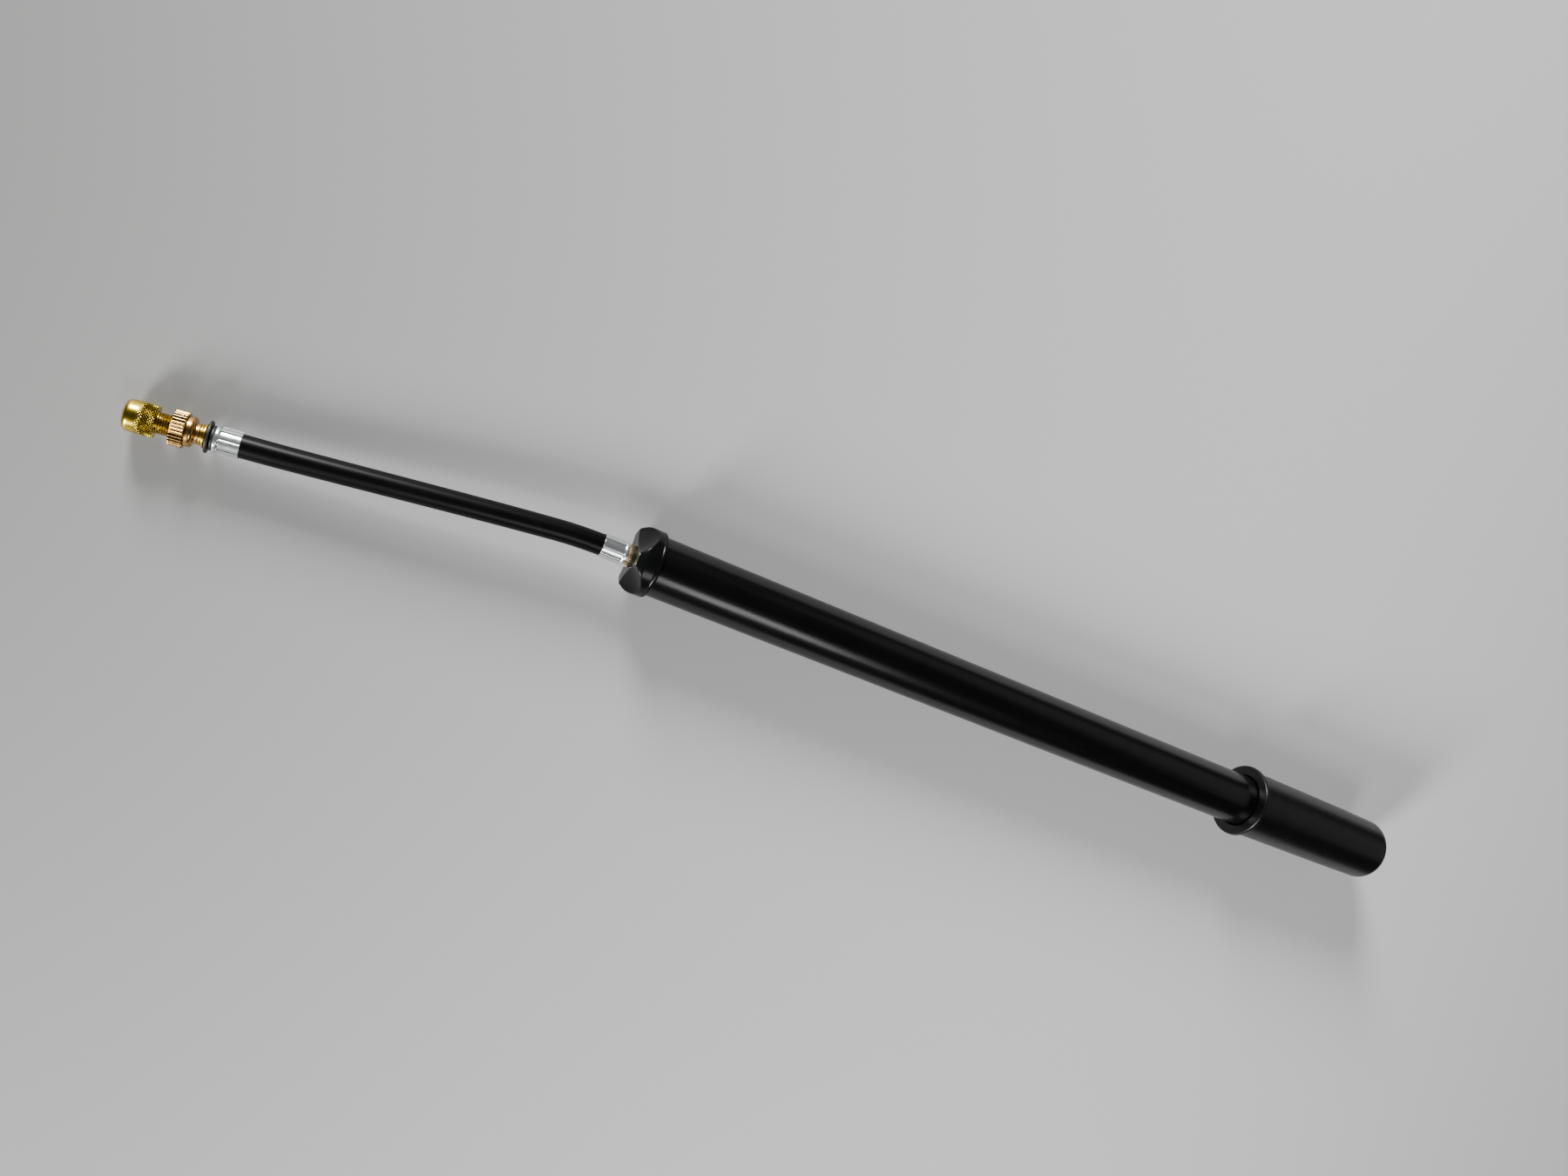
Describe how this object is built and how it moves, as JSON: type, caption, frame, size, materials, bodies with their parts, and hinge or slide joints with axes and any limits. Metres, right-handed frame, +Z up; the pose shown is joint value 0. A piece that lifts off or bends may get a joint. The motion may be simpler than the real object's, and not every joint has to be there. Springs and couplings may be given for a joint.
{
  "type": "bicycle hand pump",
  "caption": "Slim black hand pump with telescoping handle, dished end cap and a short stiff hose ending in a swivel nut and screw-in valve adapter.",
  "frame": {"origin": "below the middle of the pump body, on the level of the handle flange's lowest point; hose and what is on it not counted", "axes": "+X along the barrel from the hose end to the handle, +Z up with the pump lying down, +Y completes a right-handed frame"},
  "size_m": [0.5836, 0.0407, 0.034],
  "materials": {
    "barrel_black": "gloss black anodised aluminium",
    "cap_plastic": "satin black moulded plastic",
    "handle_plastic": "satin black moulded plastic",
    "inner_plastic": "moulded plastic",
    "rubber_black": "satin rubber",
    "hose_rubber": "satin extruded rubber",
    "seal_rubber": "matt rubber",
    "steel": "drawn steel",
    "ferrule_metal": "bright plated",
    "brass": "polished",
    "copper_brass": "machined",
    "aged_brass": "dull plated"
  },
  "bodies": {
    "barrel": {"barrel_tube": "barrel_black", "end_cap": "cap_plastic", "cap_gasket": "rubber_black", "guide_bush": "inner_plastic", "port_washer": "rubber_black", "pump_fitting": "aged_brass", "pump_ferrule": "ferrule_metal", "hose": "hose_rubber", "valve_ferrule": "ferrule_metal", "valve_spacer": "rubber_black", "backstop_disc": "rubber_black", "valve_fitting": "brass"},
    "piston_seal": {"cup_seal": "seal_rubber"},
    "plunger": {"piston_rod": "steel", "piston_nut": "steel", "lock_washer": "steel", "cup_spreader": "inner_plastic", "backing_washer": "steel", "rebound_bumper": "rubber_black", "handle_grip": "handle_plastic", "handle_insert": "brass", "handle_buffer": "rubber_black"},
    "swivel_nut": {"swivel_nut": "copper_brass", "nut_seal": "seal_rubber"},
    "adapter_seal": {"adapter_oring": "seal_rubber"},
    "adapter": {"valve_adapter": "brass"}
  },
  "joints": [
    {"name": "pump_stroke", "type": "slide", "parent": "barrel", "child": "piston_seal", "axis": [1, 0, 0], "range_m": [0, 0.342]},
    {"name": "handle_turn", "type": "hinge", "parent": "piston_seal", "child": "plunger", "pos_m": [0, 0, 0.017], "axis": [1, 0, 0], "continuous": true},
    {"name": "nut_turn", "type": "hinge", "parent": "barrel", "child": "swivel_nut", "pos_m": [-0.35636, -0.01612, 0.01349], "axis": [-0.9935, -0.107, -0.0382], "continuous": true},
    {"name": "adapter_travel", "type": "slide", "parent": "swivel_nut", "child": "adapter_seal", "axis": [-0.9935, -0.107, -0.0382], "range_m": [-0.0004, 0.00238]},
    {"name": "adapter_screw", "type": "hinge", "parent": "adapter_seal", "child": "adapter", "pos_m": [-0.36242, -0.01677, 0.01326], "axis": [-0.9935, -0.107, -0.0382], "range_deg": [-181, 1081]}
  ],
  "couplings": [
    {"joint": "adapter_screw", "follows": "adapter_travel", "rad_per_m": 7915.8}
  ]
}
